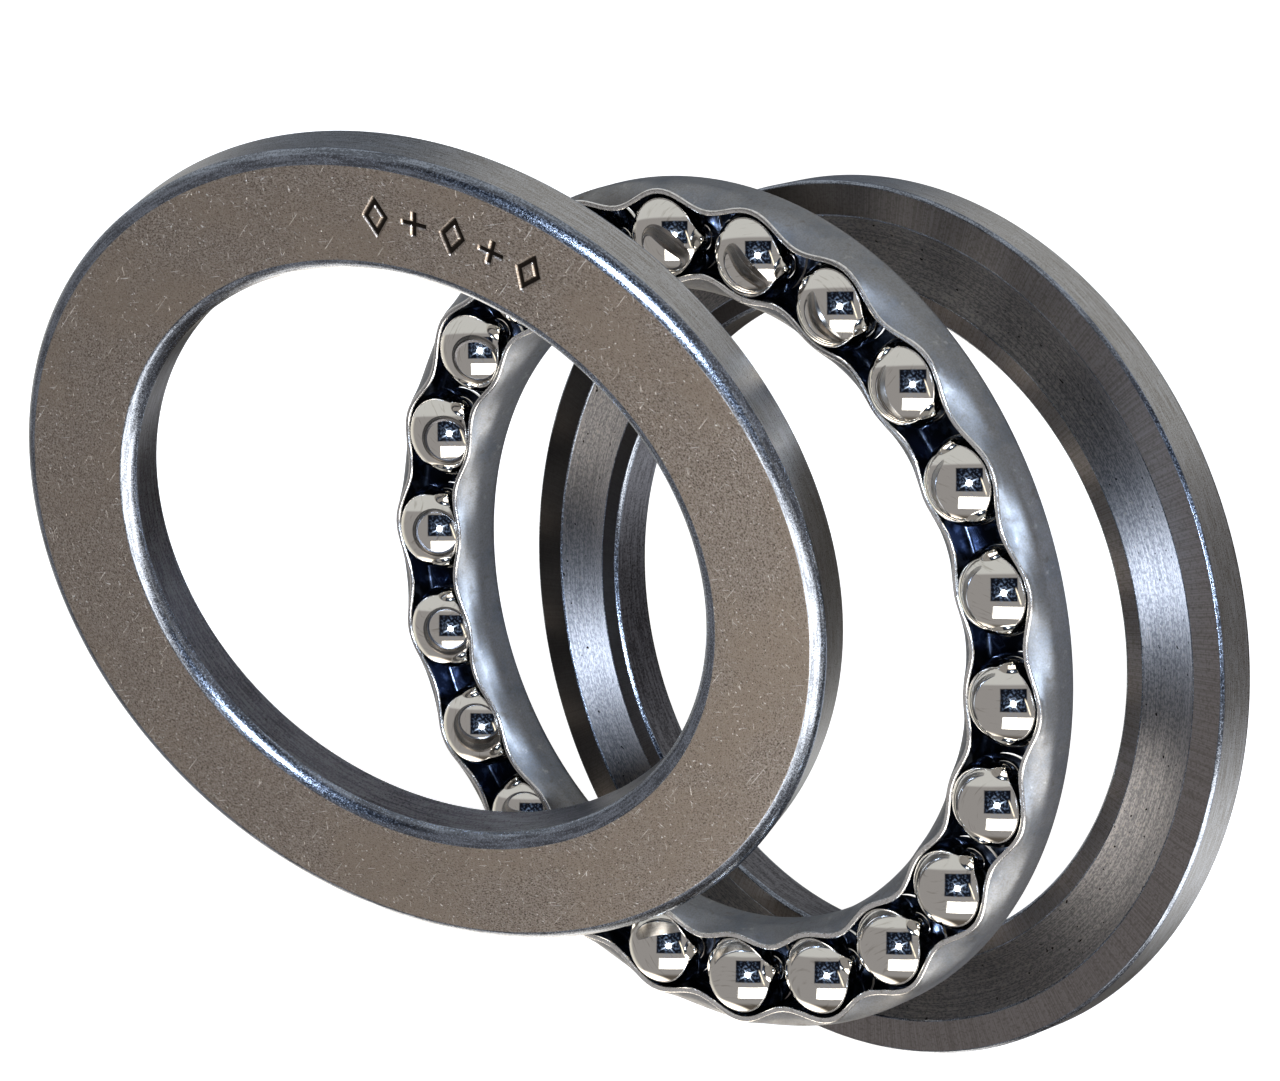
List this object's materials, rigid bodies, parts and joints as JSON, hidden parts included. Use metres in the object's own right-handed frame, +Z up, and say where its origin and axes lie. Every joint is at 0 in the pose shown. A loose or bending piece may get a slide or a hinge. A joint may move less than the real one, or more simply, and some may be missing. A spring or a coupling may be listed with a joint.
{
  "type": "thrust ball bearing",
  "caption": "Single-direction thrust ball bearing taken apart: shaft washer, pressed steel cage with its balls, and housing washer, standing on edge in a row.",
  "frame": {"origin": "centre of the shaft washer, in the middle of its bore and of its thickness", "axes": "-Y out of the shaft washer's seat face, along the bearing axis; +Z up, away from the surface that the rings stand on"},
  "size_m": [0.1014, 0.0351, 0.07],
  "materials": {
    "washer_steel": "ground bearing steel with a fine matte grain",
    "cage_sheet": "pressed sheet steel, satin and slightly mottled",
    "ball_steel": "lapped bearing balls, mirror bright"
  },
  "bodies": {
    "shaft_washer": {"shaft_washer": "washer_steel"},
    "housing_washer": {"housing_washer": "washer_steel"},
    "cage": {"cage": "cage_sheet"},
    "ball_01": {"ball_01": "ball_steel"},
    "ball_02": {"ball_02": "ball_steel"},
    "ball_03": {"ball_03": "ball_steel"},
    "ball_04": {"ball_04": "ball_steel"},
    "ball_05": {"ball_05": "ball_steel"},
    "ball_06": {"ball_06": "ball_steel"},
    "ball_07": {"ball_07": "ball_steel"},
    "ball_08": {"ball_08": "ball_steel"},
    "ball_09": {"ball_09": "ball_steel"},
    "ball_10": {"ball_10": "ball_steel"},
    "ball_11": {"ball_11": "ball_steel"},
    "ball_12": {"ball_12": "ball_steel"},
    "ball_13": {"ball_13": "ball_steel"},
    "ball_14": {"ball_14": "ball_steel"},
    "ball_15": {"ball_15": "ball_steel"},
    "ball_16": {"ball_16": "ball_steel"},
    "ball_17": {"ball_17": "ball_steel"},
    "ball_18": {"ball_18": "ball_steel"},
    "ball_19": {"ball_19": "ball_steel"},
    "ball_20": {"ball_20": "ball_steel"},
    "ball_21": {"ball_21": "ball_steel"},
    "ball_22": {"ball_22": "ball_steel"}
  },
  "joints": [
    {"name": "housing_washer_spin", "type": "hinge", "parent": "shaft_washer", "child": "housing_washer", "pos_m": [0.03304, 0.01495, -0.00022], "axis": [0.3459, 0.9251, -0.1564], "continuous": true},
    {"name": "cage_spin", "type": "hinge", "parent": "shaft_washer", "child": "cage", "pos_m": [0.02178, 0.0088, -0.00082], "axis": [0.3319, 0.9371, -0.108], "continuous": true},
    {"name": "ball_01_roll", "type": "hinge", "parent": "cage", "child": "ball_01", "pos_m": [0.05008, -0.00112, 0.0001], "axis": [0.9433, -0.3305, 0.0307], "continuous": true},
    {"name": "ball_02_roll", "type": "hinge", "parent": "cage", "child": "ball_02", "pos_m": [0.04899, 0.00023, 0.00846], "axis": [0.907, -0.2855, 0.3094], "continuous": true},
    {"name": "ball_03_roll", "type": "hinge", "parent": "cage", "child": "ball_03", "pos_m": [0.0457, 0.00228, 0.01607], "axis": [0.7973, -0.2174, 0.5631], "continuous": true},
    {"name": "ball_04_roll", "type": "hinge", "parent": "cage", "child": "ball_04", "pos_m": [0.04047, 0.00485, 0.02231], "axis": [0.623, -0.1317, 0.7711], "continuous": true},
    {"name": "ball_05_roll", "type": "hinge", "parent": "cage", "child": "ball_05", "pos_m": [0.03372, 0.00774, 0.02668], "axis": [0.3982, -0.0354, 0.9166], "continuous": true},
    {"name": "ball_06_roll", "type": "hinge", "parent": "cage", "child": "ball_06", "pos_m": [0.02601, 0.01072, 0.02881], "axis": [0.1411, 0.0639, 0.9879], "continuous": true},
    {"name": "ball_07_roll", "type": "hinge", "parent": "cage", "child": "ball_07", "pos_m": [0.01796, 0.01354, 0.02855], "axis": [-0.1274, 0.158, 0.9792], "continuous": true},
    {"name": "ball_08_roll", "type": "hinge", "parent": "cage", "child": "ball_08", "pos_m": [0.01021, 0.01598, 0.02591], "axis": [-0.3856, 0.2392, 0.8911], "continuous": true},
    {"name": "ball_09_roll", "type": "hinge", "parent": "cage", "child": "ball_09", "pos_m": [0.0034, 0.01783, 0.0211], "axis": [-0.6125, 0.3011, 0.7309], "continuous": true},
    {"name": "ball_10_roll", "type": "hinge", "parent": "cage", "child": "ball_10", "pos_m": [-0.00191, 0.01896, 0.01452], "axis": [-0.7898, 0.3386, 0.5114], "continuous": true},
    {"name": "ball_11_roll", "type": "hinge", "parent": "cage", "child": "ball_11", "pos_m": [-0.00531, 0.01926, 0.00669], "axis": [-0.9031, 0.3487, 0.2505], "continuous": true},
    {"name": "ball_12_roll", "type": "hinge", "parent": "cage", "child": "ball_12", "pos_m": [-0.00652, 0.01872, -0.00174], "axis": [-0.9433, 0.3305, -0.0307], "continuous": true},
    {"name": "ball_13_roll", "type": "hinge", "parent": "cage", "child": "ball_13", "pos_m": [-0.00543, 0.01737, -0.01011], "axis": [-0.907, 0.2855, -0.3094], "continuous": true},
    {"name": "ball_14_roll", "type": "hinge", "parent": "cage", "child": "ball_14", "pos_m": [-0.00214, 0.01532, -0.01772], "axis": [-0.7973, 0.2174, -0.5631], "continuous": true},
    {"name": "ball_15_roll", "type": "hinge", "parent": "cage", "child": "ball_15", "pos_m": [0.00309, 0.01275, -0.02396], "axis": [-0.623, 0.1317, -0.7711], "continuous": true},
    {"name": "ball_16_roll", "type": "hinge", "parent": "cage", "child": "ball_16", "pos_m": [0.00984, 0.00986, -0.02832], "axis": [-0.3982, 0.0354, -0.9166], "continuous": true},
    {"name": "ball_17_roll", "type": "hinge", "parent": "cage", "child": "ball_17", "pos_m": [0.01755, 0.00688, -0.03046], "axis": [-0.1411, -0.0639, -0.9879], "continuous": true},
    {"name": "ball_18_roll", "type": "hinge", "parent": "cage", "child": "ball_18", "pos_m": [0.0256, 0.00406, -0.0302], "axis": [0.1274, -0.158, -0.9792], "continuous": true},
    {"name": "ball_19_roll", "type": "hinge", "parent": "cage", "child": "ball_19", "pos_m": [0.03335, 0.00162, -0.02756], "axis": [0.3856, -0.2392, -0.8911], "continuous": true},
    {"name": "ball_20_roll", "type": "hinge", "parent": "cage", "child": "ball_20", "pos_m": [0.04016, -0.00023, -0.02275], "axis": [0.6125, -0.3011, -0.7309], "continuous": true},
    {"name": "ball_21_roll", "type": "hinge", "parent": "cage", "child": "ball_21", "pos_m": [0.04547, -0.00136, -0.01617], "axis": [0.7898, -0.3386, -0.5114], "continuous": true},
    {"name": "ball_22_roll", "type": "hinge", "parent": "cage", "child": "ball_22", "pos_m": [0.04887, -0.00166, -0.00834], "axis": [0.9031, -0.3487, -0.2505], "continuous": true}
  ],
  "couplings": [
    {"joint": "cage_spin", "follows": "housing_washer_spin", "ratio": 0.5},
    {"joint": "ball_01_roll", "follows": "housing_washer_spin", "ratio": -4.1993},
    {"joint": "ball_02_roll", "follows": "housing_washer_spin", "ratio": -4.1993},
    {"joint": "ball_03_roll", "follows": "housing_washer_spin", "ratio": -4.1993},
    {"joint": "ball_04_roll", "follows": "housing_washer_spin", "ratio": -4.1993},
    {"joint": "ball_05_roll", "follows": "housing_washer_spin", "ratio": -4.1993},
    {"joint": "ball_06_roll", "follows": "housing_washer_spin", "ratio": -4.1993},
    {"joint": "ball_07_roll", "follows": "housing_washer_spin", "ratio": -4.1993},
    {"joint": "ball_08_roll", "follows": "housing_washer_spin", "ratio": -4.1993},
    {"joint": "ball_09_roll", "follows": "housing_washer_spin", "ratio": -4.1993},
    {"joint": "ball_10_roll", "follows": "housing_washer_spin", "ratio": -4.1993},
    {"joint": "ball_11_roll", "follows": "housing_washer_spin", "ratio": -4.1993},
    {"joint": "ball_12_roll", "follows": "housing_washer_spin", "ratio": -4.1993},
    {"joint": "ball_13_roll", "follows": "housing_washer_spin", "ratio": -4.1993},
    {"joint": "ball_14_roll", "follows": "housing_washer_spin", "ratio": -4.1993},
    {"joint": "ball_15_roll", "follows": "housing_washer_spin", "ratio": -4.1993},
    {"joint": "ball_16_roll", "follows": "housing_washer_spin", "ratio": -4.1993},
    {"joint": "ball_17_roll", "follows": "housing_washer_spin", "ratio": -4.1993},
    {"joint": "ball_18_roll", "follows": "housing_washer_spin", "ratio": -4.1993},
    {"joint": "ball_19_roll", "follows": "housing_washer_spin", "ratio": -4.1993},
    {"joint": "ball_20_roll", "follows": "housing_washer_spin", "ratio": -4.1993},
    {"joint": "ball_21_roll", "follows": "housing_washer_spin", "ratio": -4.1993},
    {"joint": "ball_22_roll", "follows": "housing_washer_spin", "ratio": -4.1993}
  ]
}
